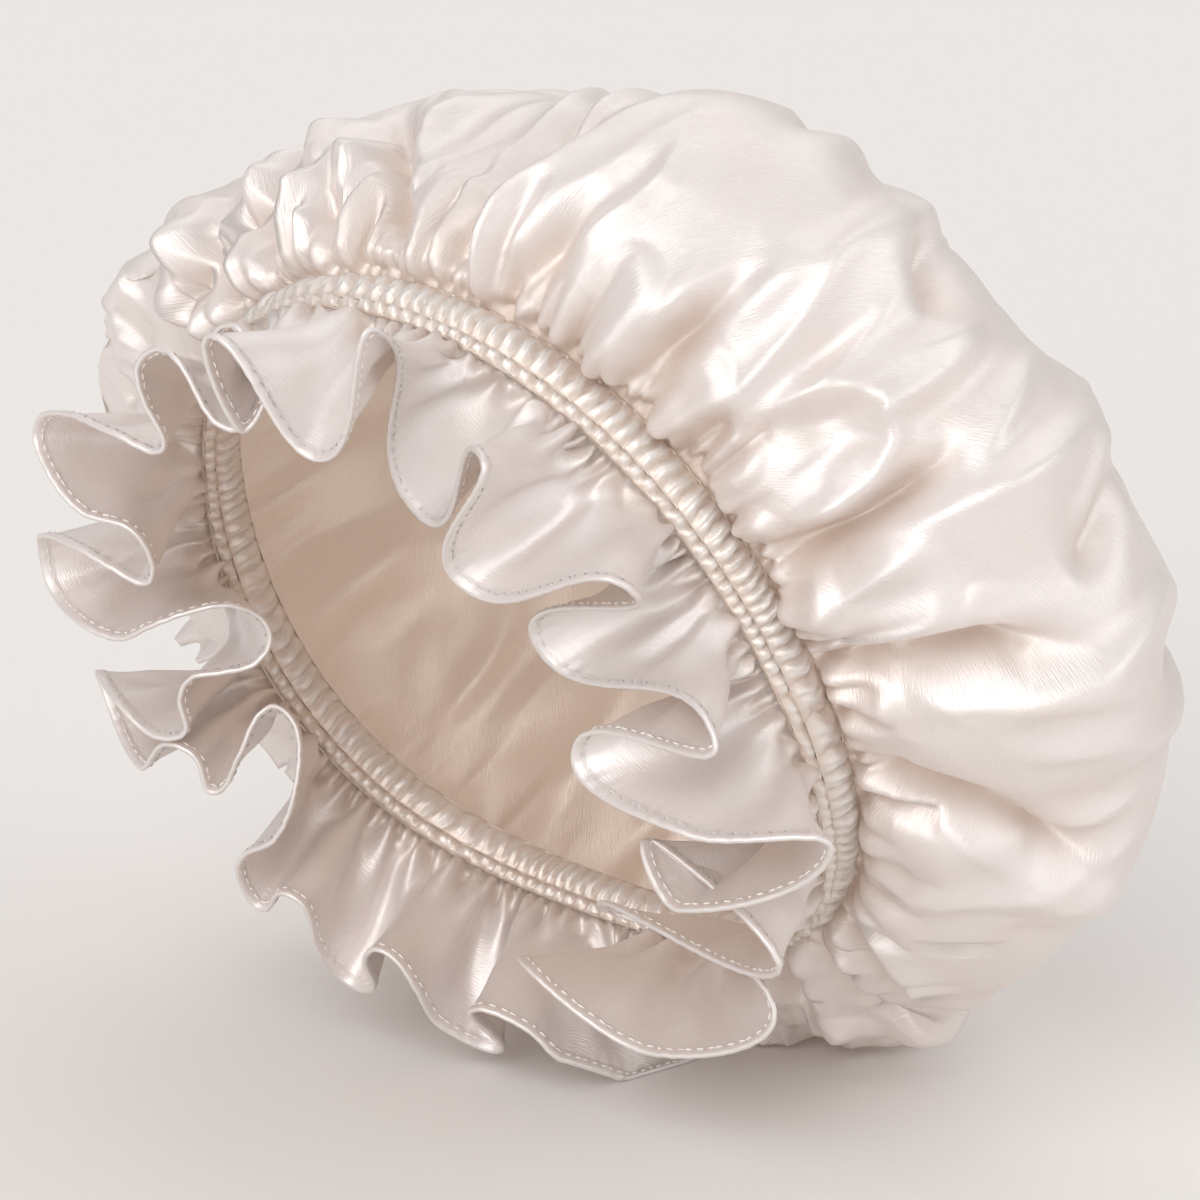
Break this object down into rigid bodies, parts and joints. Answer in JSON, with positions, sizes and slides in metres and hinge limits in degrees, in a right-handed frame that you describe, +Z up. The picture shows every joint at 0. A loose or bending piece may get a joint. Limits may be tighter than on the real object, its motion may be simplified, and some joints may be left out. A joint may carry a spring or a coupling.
{
  "type": "satin bonnet",
  "caption": "Soft round satin bonnet lying on its side, a puffed crown gathered into a shirred elastic band with a wavy hemmed ruffle round the mouth.",
  "frame": {"origin": "middle of the bounding box in plan, on the ground that the bonnet rests on", "axes": "+Z up from the ground, +X to the right as the picture sees the bonnet, +Y away from the picture's viewer; the mouth opens towards -X, -Y and down"},
  "size_m": [0.2568, 0.245, 0.2324],
  "materials": {
    "satin": "pearl satin, soft sheen",
    "shirred_satin": "cream satin, gathered"
  },
  "bodies": {
    "root": {"crown": "satin", "elastic_band": "shirred_satin", "ruffle": "satin"}
  },
  "joints": []
}
